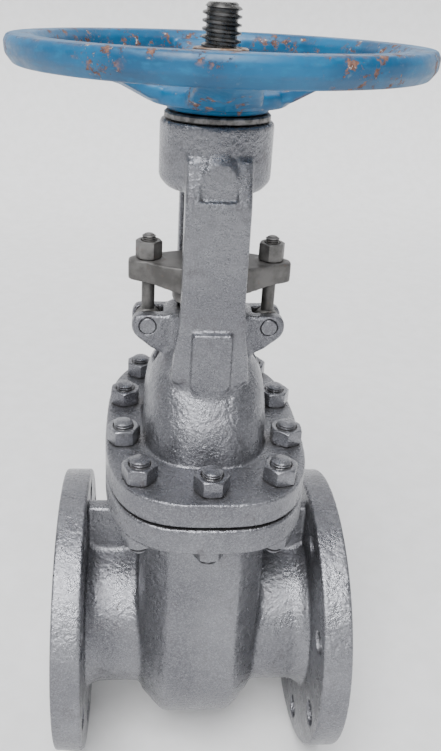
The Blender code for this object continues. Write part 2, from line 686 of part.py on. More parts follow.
def spoke(angle):
    """A wide spoke with a ridge underneath, lofted from the hub up to the rim."""
    stations = [(26, 25, 437, 429, 425), (46, 24, 441, 431, 426.5), (66, 21, 448, 441, 436.5),
                (98, 20, 457.5, 450, 446), (125, 30, 462, 453, 450.5)]
    rings = []
    for reach, half_width, top, edge, ridge in stations:
        ring = [(reach, -half_width, top), (reach, half_width, top), (reach, half_width, edge),
                (reach, 0, ridge), (reach, -half_width, edge)]
        rings.append([(x * MM, y * MM, z * MM) for x, y, z in ring])
    item = loft("spoke", rings)
    item.data.transform(Matrix.Rotation(angle, 4, "Z"))
    return item


def make_handwheel():
    rim = [(137, 467.4), (139.3, 463), (138.8, 455.8), (134, 449.2), (122, 449), (116.5, 455),
           (116.5, 462), (121, 467.4)]
    wheel = turned("handwheel", [(r * MM, z * MM) for r, z in rim], 44)
    for i in range(WHEEL_SPOKES):
        join(wheel, spoke(2 * math.pi * i / WHEEL_SPOKES))
    low, high = WHEEL_HUB_Z
    bore = SLEEVE_TOP_R + 0.5 * MM
    hub = [(0.0, high), (31 * MM, high), (46 * MM, 436 * MM), (46 * MM, 427 * MM), (36 * MM, 426 * MM),
           (34 * MM, low), (0.0, low)]
    join(wheel, turned("wheel_hub", hub, 28))
    cut(wheel, rod("wheel_bore", bore, low - 5 * MM, high + 5 * MM, None, 24))
    cut(wheel, box("keyway", (-3.3 * MM, 10 * MM, low - 5 * MM), (3.3 * MM, 23.3 * MM, high + 5 * MM)))
    return finish_part(wheel, "handwheel", BLUE)


def make_wheel_fixings():
    key = box("key", (-3 * MM, 16.2 * MM, 424.5 * MM), (3 * MM, 23 * MM, 442.5 * MM))
    finish_part(key, "handwheel_key", STEEL)
    low = WHEEL_HUB_Z[1] + GAP
    nut = hexagon("wheel_nut", WHEEL_NUT_FLATS, SLEEVE_TOP_R + 0.5 * MM, low, low + 13 * MM, hole_sides=24)
    finish_part(nut, "handwheel_nut", RUST)


clear_scene()
PARTS = new_collection("gate_valve")
CUTTERS = new_collection("cutters")
make_body()
make_gasket()
make_bonnet()
make_bonnet_bolting()
make_seats()
make_wedge()
make_stem()
make_backseat_bush()
make_packing()
make_gland_follower()
make_gland_flange()
make_gland_bolting()
make_yoke_sleeve()
make_retainer()
make_handwheel()
make_wheel_fixings()
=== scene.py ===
"""Gate valve with a painted cast-steel shell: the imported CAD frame, with detailed pieces and materials.

Shapes are written in millimetres in the frame of the CAD, whose origin is where the flow axis
crosses the stem axis, and are scaled to metres when a mesh is made.
"""

import math

import bmesh
import bpy
from mathutils import Matrix, Vector


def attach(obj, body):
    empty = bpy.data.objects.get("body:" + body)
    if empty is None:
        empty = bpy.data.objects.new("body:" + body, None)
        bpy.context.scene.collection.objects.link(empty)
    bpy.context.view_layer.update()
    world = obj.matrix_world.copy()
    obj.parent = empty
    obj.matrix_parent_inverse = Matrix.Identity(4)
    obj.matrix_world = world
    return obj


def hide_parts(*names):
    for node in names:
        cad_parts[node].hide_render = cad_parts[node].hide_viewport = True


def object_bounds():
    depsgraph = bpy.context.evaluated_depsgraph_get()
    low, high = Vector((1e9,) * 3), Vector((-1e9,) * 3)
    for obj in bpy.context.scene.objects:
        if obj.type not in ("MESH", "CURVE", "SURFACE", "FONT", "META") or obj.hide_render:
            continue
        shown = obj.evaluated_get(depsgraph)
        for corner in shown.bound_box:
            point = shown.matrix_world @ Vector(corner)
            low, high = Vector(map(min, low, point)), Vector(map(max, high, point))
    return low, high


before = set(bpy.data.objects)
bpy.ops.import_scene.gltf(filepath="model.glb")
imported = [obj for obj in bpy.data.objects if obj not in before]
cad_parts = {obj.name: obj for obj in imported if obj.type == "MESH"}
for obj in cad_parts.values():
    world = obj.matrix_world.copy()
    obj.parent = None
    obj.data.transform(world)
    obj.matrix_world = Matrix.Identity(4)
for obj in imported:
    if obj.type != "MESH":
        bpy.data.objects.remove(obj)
CAD_BOX = [list(corner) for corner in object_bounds()]

MM = 0.001
FLOOR_Z = CAD_BOX[0][2] / MM

ALONG_X = Matrix.Rotation(math.pi / 2, 4, "Y")
ALONG_Y = Matrix.Rotation(math.pi / 2, 4, "X")

# Pipe ends
HALF_LENGTH = 114.5  # from the stem axis to a flange face
FLANGE_R = 114.5
FACE_R = 78.5  # raised face
BOLT_CIRCLE_R = 95.25
FLANGE_HOLE_R = 9.525
FLANGE_HOLES = 8
PORT_R = 51
NECK_R = 63.3

# Bowl: a quarter of its plan outline, outside and inside, and its depth over half its width
BOWL = [(0, 83), (26, 82.5), (34, 76), (44, 66), (48, 55)]
CAVITY = [(0, 73), (22, 72.5), (29, 67), (35, 57), (36, 48)]
BOWL_DEPTH = 93 / 83

# Bonnet joint and its bolting, with how far each nut was turned, in degrees, when it was tightened
JOINT_A = 75.4
JOINT_B = 114.2
BODY_FLANGE_Z = (142.6, 162.2)
BONNET_FLANGE_Z = (164.4, 183.0)
STUD_PLACES = [(0, -95.5), (49, -82), (61.5, -30.5), (61.5, 30.5), (49, 82),
               (0, 95.5), (-49, 82), (-61.5, 30.5), (-61.5, -30.5), (-49, -82)]
NUT_TURNS = [0, 12, 28, 5, 9, 4, 30, 27, 4, -8]
STUD_R = 7.0
STUD_Z = (122, 200)
STUD_PITCH = 2.0
STUD_HOLE_R = 7.9
STUD_NUT_FLATS = 22
STUD_NUT_BORE = 7.3
UPPER_NUT_Z = (183.3, 195.3)
LOWER_NUT_Z = (130.3, 142.3)

# Gland
GLAND_X = 44.6  # eyebolts
PIN_Z = 269.3
PIN_HOLE_R = 6.3
EYEBOLT_R = 5.0
EYEBOLT_PITCH = 1.5
GLAND_Z = (296.8, 316.2)
GLAND_PAD_Z = 317
GLAND_NUT_FLATS = 17
GLAND_NUT_BORE = 5.3
GLAND_NUT_Z = (317.3, 330.3)
LUG_HALF_WIDTH = 16
STUFFING_BOX_R = 31

# Yoke, stem nut and stem
HUB_R = 39
HUB_Z = (370.5, 416.5)
ARM_HALF_WIDTH = 22.2
ARCH_R = 12
SLEEVE_R = 19
SLEEVE_PITCH = 2.0
SLEEVE_BOTTOM_Z = 368.4
STEM_R = 12.7
STEM_TOP_Z = 489.6
THREAD_ROOT_R = 10.4
THREAD_R = 13.0
THREAD_LEAD = 5.0
THREAD_Z = (309.0, 497.0)
THREAD_SIDES = 56

# Handwheel and its fixings
SPOKES = 4
WHEEL_BORE_R = 19.5
WHEEL_NUT_FLATS = 50
WHEEL_NUT_BORE = 19.4
WHEEL_NUT_Z = (443.3, 456.3)
KEY_HALF_WIDTH = 3
KEYWAY_HALF_WIDTH = 3.3

# Surroundings
FLOOR_GAP = 0.5
FLOOR_HALF_WIDTH = 4500
FLOOR_FRONT_Y = -3000
BEND_R = 700
WALL_Y = 2200
WALL_TOP_Z = 3600

# Camera: degrees round, above and about its line of sight, the point looked at, and its optics
CAMERA_AZIMUTH = -4.13
CAMERA_ELEVATION = 22.85
CAMERA_ROLL = 2.44
CAMERA_TARGET = (-11.5, 0, 263.5)
CAMERA_DISTANCE = 588
CAMERA_SENSOR = 36
CAMERA_LENS = 37.44
CAMERA_SHIFT = (0.0386, -0.066)


# Mesh building, in millimetres

def make_object(name, shape, turn=None):
    """Turn a bmesh in millimetres into an object in metres."""
    matrix = Matrix.Scale(MM, 4) @ (turn or Matrix())
    bmesh.ops.transform(shape, matrix=matrix, verts=shape.verts)
    bmesh.ops.recalc_face_normals(shape, faces=shape.faces)
    mesh = bpy.data.meshes.new(name)
    shape.to_mesh(mesh)
    shape.free()
    item = bpy.data.objects.new(name, mesh)
    bpy.context.scene.collection.objects.link(item)
    return item


def lathe(name, profile, sides=96, turn=None):
    """A profile of (radius, height) turned about Z.

    An end on the axis is closed by a fan. A profile with neither end on the axis makes a ring.
    """
    shape = bmesh.new()
    rings = []
    for radius, height in profile:
        if radius < 1e-6:
            rings.append([shape.verts.new((0, 0, height))])
            continue
        rings.append([shape.verts.new((radius * math.cos(2 * math.pi * i / sides),
                                       radius * math.sin(2 * math.pi * i / sides), height))
                      for i in range(sides)])
    pairs = list(zip(rings, rings[1:]))
    if len(rings[0]) > 1 and len(rings[-1]) > 1:
        pairs.append((rings[-1], rings[0]))
    for upper, lower in pairs:
        for i in range(sides):
            j = (i + 1) % sides
            corners = [upper[i % len(upper)], upper[j % len(upper)],
                       lower[j % len(lower)], lower[i % len(lower)]]
            unique = list(dict.fromkeys(corners))
            if len(unique) > 2:
                shape.faces.new(unique)
    return make_object(name, shape, turn)


def block(name, low, high):
    """A box between two corners."""
    shape = bmesh.new()
    bmesh.ops.create_cube(shape, size=1.0)
    low = Vector(low)
    high = Vector(high)
    place = Matrix.Translation((low + high) / 2) @ Matrix.Diagonal((*(high - low), 1.0))
    bmesh.ops.transform(shape, matrix=place, verts=shape.verts)
    return make_object(name, shape)


def prism(name, outline, start, end, turn=None):
    """A flat outline of (u, v) points carried from start to end along its normal."""
    return loft(name, [[(u, v, start) for u, v in outline], [(u, v, end) for u, v in outline]], turn)


def loft(name, rings, turn=None):
    """Rings of equal point counts, joined by quads and closed at both ends."""
    shape = bmesh.new()
    loops = [[shape.verts.new(point) for point in ring] for ring in rings]
    for lower, upper in zip(loops, loops[1:]):
        for i in range(len(lower)):
            j = (i + 1) % len(lower)
            shape.faces.new((lower[i], lower[j], upper[j], upper[i]))
    shape.faces.new(list(reversed(loops[0])))
    shape.faces.new(loops[-1])
    return make_object(name, shape, turn)


def front_prism(name, outline, y_low, y_high):
    """An outline of (x, z) in the front view, carried along Y."""
    upright = Matrix(((1, 0, 0, 0), (0, 0, 1, 0), (0, 1, 0, 0), (0, 0, 0, 1)))
    return prism(name, outline, y_low, y_high, upright)


def side_prism(name, outline, x_low, x_high):
    """An outline of (y, z) in the side view, carried along X."""
    across = Matrix(((0, 0, 1, 0), (1, 0, 0, 0), (0, 1, 0, 0), (0, 0, 0, 1)))
    return prism(name, outline, x_low, x_high, across)


def rod(name, radius, start, end, place=(0, 0, 0), turn=None, sides=40):
    """A cylinder between two heights of its own axis, turned and then moved to its place."""
    profile = [(0, end), (radius, end), (radius, start), (0, start)]
    return lathe(name, profile, sides, Matrix.Translation(place) @ (turn or Matrix()))


def arc(radius, x, z, start, end, step):
    """Points of an arc in the front view, between two angles in degrees."""
    return [(x + radius * math.cos(math.radians(a)), z + radius * math.sin(math.radians(a)))
            for a in range(start, end, step)]


def side_span(sign, near, far):
    """A span on one side of the middle, as its lower and its upper limit."""
    return sorted((sign * near, sign * far))


def superellipse(a, b, power, count, z):
    """Points of |x/a|^n + |y/b|^n = 1 at a height."""
    points = []
    for i in range(count):
        t = 2 * math.pi * (i + 0.5) / count
        x = a * math.copysign(abs(math.cos(t)) ** (2 / power), math.cos(t))
        y = b * math.copysign(abs(math.sin(t)) ** (2 / power), math.sin(t))
        points.append((x, y, z))
    return points


def four_ways(quarter):
    """A closed outline from its quarter, which runs from +Y towards +X."""
    half = quarter + [(x, -y) for x, y in reversed(quarter)]
    return list(reversed(half + [(-x, y) for x, y in reversed(half) if x > 0]))


def round_about_x(name, quarter, sides):
    """The quarter outline turned about the flow axis, a little deeper than wide."""
    run = [(0, quarter[-1][0])] + [(y, x) for x, y in reversed(quarter)]
    run += [(y, -x) for x, y in quarter if x > 0] + [(0, -quarter[-1][0])]
    return lathe(name, run, sides, Matrix.Diagonal((1, 1, BOWL_DEPTH, 1)) @ ALONG_X)


# Working on objects

def evaluated(item):
    """Apply an object's modifiers."""
    bpy.context.view_layer.update()
    graph = bpy.context.evaluated_depsgraph_get()
    made = bpy.data.meshes.new_from_object(item.evaluated_get(graph))
    item.modifiers.clear()
    item.data = made
    return item


def gather(items):
    """Put several objects' meshes into the first of them."""
    shape = bmesh.new()
    for item in items:
        shape.from_mesh(item.data)
    for item in items[1:]:
        bpy.data.objects.remove(item, do_unlink=True)
    shape.to_mesh(items[0].data)
    shape.free()
    return items[0]


def boolean(target, tool, operation):
    """Join, cut or intersect an object with a tool, which is used up."""
    step = target.modifiers.new("boolean", "BOOLEAN")
    step.operation = operation
    step.solver = "EXACT"
    step.object = tool
    evaluated(target)
    bpy.data.objects.remove(tool, do_unlink=True)


def remesh(item, voxel, rounds, factor=0.5):
    """Fuse an object's shells into one even skin, then smooth it so that corners become fillets."""
    skin = item.modifiers.new("skin", "REMESH")
    skin.mode = "VOXEL"
    skin.voxel_size = voxel * MM
    soften = item.modifiers.new("soften", "SMOOTH")
    soften.factor = factor
    soften.iterations = rounds
    return evaluated(item)


def bevel(item, width):
    """Round an object's sharp edges."""
    edge = item.modifiers.new("edge", "BEVEL")
    edge.width = width * MM
    edge.segments = 2
    edge.limit_method = "ANGLE"
    edge.angle_limit = math.radians(28)
    return evaluated(item)


def settle(item, name, body, surface, nodes, smooth_angle=40):
    """Name a piece, and give it its body, finish and material."""
    item.name = name
    item.data.name = name
    item.data.materials.clear()
    item.data.materials.append(surface)
    item.data.shade_smooth()
    if smooth_angle:
        item.data.set_sharp_from_angle(angle=math.radians(smooth_angle))
    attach(item, body)
    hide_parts(*nodes)


# Materials

class Surface:
    """A node material, built from the texture up to one Principled shader."""

    def __init__(self, name):
        self.material = bpy.data.materials.new(name)
        self.material.use_nodes = True
        self.tree = self.material.node_tree
        self.tree.nodes.clear()
        output = self.tree.nodes.new("ShaderNodeOutputMaterial")
        self.shader = self.tree.nodes.new("ShaderNodeBsdfPrincipled")
        self.tree.links.new(self.shader.outputs[0], output.inputs["Surface"])
        self.place = self.tree.nodes.new("ShaderNodeTexCoord").outputs["Object"]
        self.bumps = None

    def link(self, value, socket):
        """Give a socket a number, a colour or another node's output."""
        if isinstance(value, (int, float)):
            socket.default_value = value
        elif isinstance(value, tuple):
            socket.default_value = (*value, 1.0)
        else:
            self.tree.links.new(value, socket)

    def noise(self, scale, detail=3.0, rough=0.55, stretch=None):
        """Noise with a size given as waves per metre."""
        node = self.tree.nodes.new("ShaderNodeTexNoise")
        node.inputs["Scale"].default_value = scale
        node.inputs["Detail"].default_value = detail
        node.inputs["Roughness"].default_value = rough
        self.link(self.stretched(stretch), node.inputs["Vector"])
        return node.outputs["Fac"]

    def stretched(self, stretch):
        """The object's coordinates, stretched along its axes if asked."""
        if not stretch:
            return self.place
        node = self.tree.nodes.new("ShaderNodeMapping")
        node.inputs["Scale"].default_value = stretch
        self.link(self.place, node.inputs["Vector"])
        return node.outputs[0]

    def ramp(self, value, low, high, out_low=0.0, out_high=1.0):
        """A value between low and high, carried smoothly to its new limits."""
        node = self.tree.nodes.new("ShaderNodeMapRange")
        node.interpolation_type = "SMOOTHSTEP"
        node.inputs["From Min"].default_value = low
        node.inputs["From Max"].default_value = high
        node.inputs["To Min"].default_value = out_low
        node.inputs["To Max"].default_value = out_high
        self.link(value, node.inputs["Value"])
        return node.outputs["Result"]

    def math(self, operation, first, second):
        node = self.tree.nodes.new("ShaderNodeMath")
        node.operation = operation
        node.use_clamp = operation != "SUBTRACT"
        self.link(first, node.inputs[0])
        self.link(second, node.inputs[1])
        return node.outputs[0]

    def blend(self, factor, first, second):
        """A mix of two colours."""
        node = self.tree.nodes.new("ShaderNodeMix")
        node.data_type = "RGBA"
        self.link(factor, node.inputs[0])
        self.link(first, node.inputs[6])
        self.link(second, node.inputs[7])
        return node.outputs[2]

    def edges(self, low, high):
        """How far a point stands out on a worn edge, from 0 to 1."""
        node = self.tree.nodes.new("ShaderNodeNewGeometry")
        return self.ramp(node.outputs["Pointiness"], low, high)

    def occlusion_for_painted_shade(self, distance):
        """Ambient occlusion, 1 in the open and falling towards 0 in corners and seams, used to paint
        shade into a colour.
        """
        node = self.tree.nodes.new("ShaderNodeAmbientOcclusion")
        node.samples = 8
        node.inputs["Distance"].default_value = distance * MM
        return self.ramp(node.outputs["AO"], 0.25, 0.85)

    def bump(self, value, depth, strength=1.0):
        """Relief of a depth in millimetres, on top of the relief so far."""
        node = self.tree.nodes.new("ShaderNodeBump")
        node.inputs["Strength"].default_value = strength
        node.inputs["Distance"].default_value = depth * MM
        self.link(value, node.inputs["Height"])
        if self.bumps:
            self.link(self.bumps, node.inputs["Normal"])
        self.bumps = node.outputs["Normal"]

    def done(self, colour, roughness, metallic=0.0):
        """Join the finished colour, gloss, metal share and relief to the shader."""
        self.link(colour, self.shader.inputs["Base Color"])
        self.link(roughness, self.shader.inputs["Roughness"])
        self.link(metallic, self.shader.inputs["Metallic"])
        if self.bumps:
            self.link(self.bumps, self.shader.inputs["Normal"])
        return self.material


def silver_paint(name, grain, lumps, chips):
    """Aluminium paint over a sand casting: lumpy, granular, stained, and chipped to the dark steel, with
    painted shade darkening its corners and seams.
    """
    s = Surface(name)
    drift = s.noise(14, 4)
    stain = s.noise(55, 6, 0.65)
    fine = s.noise(950, 3, 0.6)
    orange = s.noise(330, 4, 0.6)
    lump = s.noise(85, 4, 0.5)
    colour = s.blend(s.ramp(drift, 0.3, 0.7), (0.120, 0.120, 0.135), (0.215, 0.217, 0.234))
    colour = s.blend(s.ramp(stain, 0.54, 0.74, 0.0, 0.6), colour, (0.085, 0.077, 0.085))
    colour = s.blend(s.ramp(fine, 0.44, 0.66, 0.0, 0.35), colour, (0.42, 0.43, 0.45))
    # painted shade: the colour is darkened where ambient occlusion finds corners and seams
    unoccluded = s.occlusion_for_painted_shade(9)
    colour = s.blend(s.ramp(unoccluded, 0.0, 1.0, 0.72, 0.0), colour, (0.10, 0.095, 0.095))
    spots = s.ramp(s.noise(150, 7, 0.72), 0.645, 0.68)
    where = s.ramp(s.noise(24, 3), 0.48 + 0.06 * (1 - chips), 0.62)
    worn = s.math("MULTIPLY", s.edges(0.53, 0.60), s.ramp(s.noise(60, 5, 0.7), 0.54, 0.62))
    bare = s.math("MAXIMUM", s.math("MULTIPLY", spots, where), s.math("MULTIPLY", worn, chips))
    colour = s.blend(bare, colour, (0.055, 0.045, 0.040))
    s.bump(lump, 1.8 * lumps, 0.6)
    s.bump(orange, 0.95 * grain, 1.0)
    s.bump(fine, 0.22 * grain, 0.8)
    s.bump(s.math("SUBTRACT", 1.0, bare), 0.15, 0.6)
    rough = s.ramp(stain, 0.3, 0.75, 0.22, 0.36)
    rough = s.math("ADD", rough, s.math("MULTIPLY", bare, 0.3))
    metal = s.math("MULTIPLY", s.math("SUBTRACT", 1.0, bare), 0.80)
    return s.done(colour, rough, metal)


def blue_paint():
    """Brushed blue paint with specks of dust, chipped along the edges to rust and bright metal."""
    s = Surface("wheel_blue_paint")
    drift = s.noise(22, 5, 0.6)
    streak = s.noise(90, 5, 0.6, (1.0, 1.0, 2.5))
    fine = s.noise(700, 3)
    colour = s.blend(s.ramp(drift, 0.3, 0.7), (0.001, 0.064, 0.155), (0.002, 0.112, 0.250))
    colour = s.blend(s.ramp(streak, 0.50, 0.75, 0.0, 0.5), colour, (0.004, 0.170, 0.34))
    dust = s.ramp(s.noise(160, 6, 0.7), 0.62, 0.72, 0.0, 0.4)
    colour = s.blend(dust, colour, (0.12, 0.20, 0.26))
    edge = s.edges(0.505, 0.56)
    broken = s.ramp(s.noise(75, 8, 0.72), 0.50, 0.58)
    speck = s.ramp(s.noise(120, 8, 0.75), 0.535, 0.57)
    spots = s.math("MULTIPLY", speck, s.ramp(s.noise(24, 5), 0.46, 0.54))
    bare = s.math("MAXIMUM", s.math("MULTIPLY", edge, broken), spots)
    mottle = s.ramp(s.noise(260, 5, 0.7), 0.35, 0.65)
    rust = s.blend(mottle, (0.075, 0.032, 0.022), (0.22, 0.115, 0.085))
    colour = s.blend(bare, colour, rust)
    bright = s.math("MULTIPLY", bare, s.ramp(s.noise(330, 5, 0.6), 0.60, 0.68))
    colour = s.blend(bright, colour, (0.62, 0.60, 0.58))
    s.bump(drift, 0.8, 0.4)
    s.bump(streak, 0.25, 0.5)
    s.bump(fine, 0.06, 0.5)
    s.bump(s.math("SUBTRACT", 1.0, bare), 0.3, 0.8)
    rough = s.ramp(streak, 0.3, 0.7, 0.36, 0.52)
    rough = s.math("ADD", rough, s.math("MULTIPLY", bare, 0.35))
    return s.done(colour, rough)


def bare_metal(name, dark, light, rust_share, metallic=0.7, rough=(0.38, 0.62),
               rust=(0.16, 0.085, 0.055)):
    """Unpainted steel with a dark skin, some bright wear on its edges and a film of rust, with painted
    shade darkening its corners.
    """
    s = Surface(name)
    drift = s.noise(60, 5, 0.6)
    fine = s.noise(800, 4, 0.6)
    colour = s.blend(s.ramp(drift, 0.35, 0.68), dark, light)
    film = s.ramp(s.noise(140, 7, 0.7), 0.62 - 0.16 * rust_share, 0.74 - 0.10 * rust_share, 0.0, 0.85)
    colour = s.blend(film, colour, rust)
    # painted shade: the colour is darkened in corners and recesses found by ambient occlusion
    colour = s.blend(s.ramp(s.occlusion_for_painted_shade(5), 0.0, 1.0, 0.65, 0.0), colour, (0.03, 0.025, 0.022))
    worn = s.math("MULTIPLY", s.edges(0.52, 0.60), s.ramp(s.noise(220, 4), 0.4, 0.6))
    colour = s.blend(s.math("MULTIPLY", worn, 0.6), colour, (0.55, 0.53, 0.51))
    s.bump(drift, 0.35, 0.5)
    s.bump(fine, 0.08, 0.6)
    roughness = s.ramp(drift, 0.3, 0.7, rough[0], rough[1])
    roughness = s.math("ADD", roughness, s.math("MULTIPLY", film, 0.25))
    metal = s.math("MULTIPLY", s.math("SUBTRACT", 1.0, film), metallic)
    return s.done(colour, roughness, metal)


def turned_metal(name, dark, light, rough=(0.22, 0.36), rings=(1.0, 1.0, 60.0)):
    """Machined metal with the fine rings of the lathe across its axis, and painted shade darkening its
    corners.
    """
    s = Surface(name)
    lines = s.noise(45, 4, 0.6, rings)
    smear = s.noise(90, 5, 0.6)
    colour = s.blend(s.ramp(smear, 0.35, 0.7), dark, light)
    # painted shade: the colour is darkened in corners and recesses found by ambient occlusion
    colour = s.blend(s.ramp(s.occlusion_for_painted_shade(3), 0.0, 1.0, 0.7, 0.0), colour, (0.02, 0.018, 0.016))
    s.bump(lines, 0.05, 0.6)
    s.bump(smear, 0.06, 0.4)
    roughness = s.ramp(smear, 0.3, 0.7, rough[0], rough[1])
    return s.done(colour, roughness, s.ramp(smear, 0.1, 0.9, 0.98, 0.85))


def graphite(name):
    """Pressed graphite, dark grey with fine fibres."""
    s = Surface(name)
    fibres = s.noise(700, 5, 0.7, (1.0, 1.0, 0.3))
    colour = s.blend(s.ramp(fibres, 0.3, 0.7), (0.018, 0.018, 0.02), (0.07, 0.07, 0.075))
    s.bump(fibres, 0.12, 0.7)
    return s.done(colour, s.ramp(fibres, 0.3, 0.7, 0.5, 0.8), s.ramp(fibres, 0.3, 0.7, 0.0, 0.25))


# Shell pieces

def build_body(surface):
    """The body casting: bowl, necks, pipe flanges and joint flange, with its bores and bolt holes."""
    neck = [(0, 93), (69, 93), (68.5, 90), (65.2, 86), (NECK_R, 80),
            (NECK_R, -80), (65.2, -86), (68.5, -90), (69, -93), (0, -93)]
    blank = [lathe("body", neck, 128, ALONG_X), round_about_x("bowl", BOWL, 96),
             prism("bowl_sides", four_ways(BOWL), -6, 150)]
    for sign in (-1, 1):
        low, high = side_span(sign, 40, 92)
        blank.append(block("rib", (low, -7.5, 57), (high, 7.5, 103)))
    body = remesh(gather(blank), 1.9, 11)

    flange_steps = []
    for sign in (-1, 1):
        run = [(0, HALF_LENGTH), (77.6, HALF_LENGTH), (FACE_R, 113.9), (FACE_R, 112.9), (113.6, 112.9),
               (FLANGE_R, 112.0), (FLANGE_R, 91.8), (113.2, 90.6), (69, 90.6), (60, 89.0), (0, 89.0)]
        flange_steps.append(lathe("pipe_flange", [(r, sign * x) for r, x in run], 180, ALONG_X))
    boolean(body, gather(flange_steps), "UNION")
    boolean(body, joint_plate("body_flange", *BODY_FLANGE_Z), "UNION")

    bore = [(0, 120), (PORT_R, 120), (PORT_R, 43.3), (60.3, 43.3),
            (60.3, -43.3), (PORT_R, -43.3), (PORT_R, -120), (0, -120)]
    boolean(body, lathe("port", bore, 120, ALONG_X), "DIFFERENCE")
    shrunk = [(x * 0.995, y * 0.998) for x, y in CAVITY]
    boolean(body, round_about_x("cavity_low", shrunk, 60), "DIFFERENCE")
    boolean(body, prism("cavity", four_ways(CAVITY), -5, 170), "DIFFERENCE")
    holes = []
    for i in range(FLANGE_HOLES):
        angle = math.radians((i + 0.5) * 360 / FLANGE_HOLES)
        y = BOLT_CIRCLE_R * math.sin(angle)
        z = BOLT_CIRCLE_R * math.cos(angle)
        for sign in (-1, 1):
            low, high = side_span(sign, 84, 118)
            holes.append(rod("bolt_hole", FLANGE_HOLE_R, low, high, (0, y, z), ALONG_X, 36))
    boolean(body, gather(holes), "DIFFERENCE")
    boolean(body, stud_holes(135, 168), "DIFFERENCE")
    remesh(body, 1.15, 3, 0.45)
    settle(body, "cast_body", "valve_body", surface, ["body"], None)


def joint_plate(name, low, high):
    """The bonnet joint's flange, with slightly broken edges."""
    rings = []
    for inset, z in ((1.1, low), (0.0, low + 1.1), (0.0, high - 0.9), (0.9, high)):
        rings.append(superellipse(JOINT_A - inset, JOINT_B - inset, 3.0, 128, z))
    return loft(name, rings)


def stud_holes(low, high):
    """The tools that drill the ten stud holes between two heights."""
    return gather([rod("stud_hole", STUD_HOLE_R, low, high, (x, y, 0), None, 32)
                   for x, y in STUD_PLACES])


def build_bonnet(surface):
    """The bonnet casting: joint flange, dome, stuffing box, eyebolt lugs, yoke arms and hub."""
    # Height, half width, half depth and squareness of the dome, and further down of its inside
    dome = [(176, 48, 72, 2.8), (186, 47, 70, 2.8), (196, 46.8, 67.6, 2.75), (204, 46.5, 65, 2.7),
            (212, 46, 61.5, 2.65), (219, 45.2, 57.5, 2.6), (226, 44, 53.4, 2.55), (232, 42.2, 49.4, 2.45),
            (238, 39.2, 45.4, 2.35), (244, 35.8, 39.5, 2.2), (250, 32.5, 33.5, 2.05), (256, 30, 30, 2.0)]
    blank = [loft("bonnet", [superellipse(a, b, power, 96, z) for z, a, b, power in dome])]
    blank.append(rod("stuffing_box", STUFFING_BOX_R, 235, 280, (0, 0, 0), None, 96))
    nose = arc(11.9, GLAND_X, PIN_Z, 42, -47, -8)
    lug = [(18, 277.5), (GLAND_X + 4, 277.8)] + nose + [(42.5, 252.0), (28, 244.5), (18, 239)]
    arm = [(29.7, 236), (46.3, 236), (46.3, 365.5), (38.8, 395), (29.7, 395)]
    flare = [(-21.8, 304), (-23.5, 276), (-26.5, 257), (-28, 238),
             (28, 238), (26.5, 257), (23.5, 276), (21.8, 304)]
    pad = [(-9, 230.5), (9, 230.5), (13.7, 236), (13.7, 277.5), (-13.7, 277.5), (-13.7, 236)]
    blocks = []
    for sign in (-1, 1):
        outline = [(sign * x, z) for x, z in lug]
        blank.append(front_prism("lug", outline, -LUG_HALF_WIDTH, LUG_HALF_WIDTH))
        outline = [(sign * y, z) for y, z in arm]
        blank.append(side_prism("arm", outline, -ARM_HALF_WIDTH, ARM_HALF_WIDTH))
        blank.append(front_prism("arm_foot", flare, *side_span(sign, 31, 45)))
        blank.append(front_prism("arm_pad", pad, *side_span(sign, 38, 51.3)))
        rings = []
        for reach, centre_z in ((30, 387.5), (39, 387.5), (45, 375)):
            outline = [(-ARCH_R, 367), (ARCH_R, 367)] + arc(ARCH_R, 0, centre_z, 0, 181, 12)
            rings.append([(x, sign * reach, z) for x, z in outline])
        blocks.append(loft("arched_block", rings))
    hub = [(0, HUB_Z[1]), (HUB_R, HUB_Z[1]), (HUB_R, 377), (33.5, HUB_Z[0]), (0, HUB_Z[0])]
    blank.append(lathe("hub", hub, 128))
    bonnet = remesh(gather(blank), 1.5, 8)
    boolean(bonnet, joint_plate("bonnet_flange", *BONNET_FLANGE_Z), "UNION")
    boolean(bonnet, gather(blocks), "UNION")

    cuts = []
    for sign in (-1, 1):
        low, high = side_span(sign, 42.3, 52)
        cuts.append(block("arm_recess", (-12.4, low, 369), (12.4, high, 403)))
    boolean(bonnet, gather(cuts), "DIFFERENCE")
    cuts = []
    for sign in (-1, 1):
        low, high = side_span(sign, 33.4, 62)
        cuts.append(block("lug_slot", (low, -6.2, 235), (high, 6.2, 290)))
    boolean(bonnet, gather(cuts), "DIFFERENCE")
    cuts = [rod("pin_hole", PIN_HOLE_R, -20, 20, (sign * GLAND_X, 0, PIN_Z), ALONG_Y, 32)
            for sign in (-1, 1)]
    cuts.append(rod("hub_top", 50, 416.2, 430))
    boolean(bonnet, gather(cuts), "DIFFERENCE")
    inside = [(160, 36, 62, 3.0), (186, 36, 57, 3.0), (200, 34.5, 47, 2.8), (210, 30, 34, 2.4),
              (214, 26, 27, 2.0)]
    rings = [superellipse(a, b, power, 64, z) for z, a, b, power in inside]
    boolean(bonnet, loft("inside", rings), "DIFFERENCE")
    bores = [(0, 290), (22.5, 290), (21.3, 277), (21.3, 222), (20, 222), (20, 205), (0, 205)]
    boolean(bonnet, lathe("packing_bore", bores, 72), "DIFFERENCE")
    seats = [(0, 425), (30.6, 425), (30.3, 380), (24.5, 380), (24.5, 360), (0, 360)]
    boolean(bonnet, lathe("sleeve_bore", seats, 72), "DIFFERENCE")
    boolean(bonnet, stud_holes(160, 190), "DIFFERENCE")
    remesh(bonnet, 1.05, 2, 0.45)
    settle(bonnet, "cast_bonnet", "valve_body", surface, ["bonnet"], None)


# Bolting

def thread_run(crest, root, low, high, pitch):
    """Profile points of a thread seen as rings, from the top down."""
    points = []
    count = int((high - low) / pitch)
    for i in range(count):
        top = high - i * pitch
        points += [(root, top), (crest, top - pitch * 0.4), (crest, top - pitch * 0.6)]
    return points + [(root, high - count * pitch)]


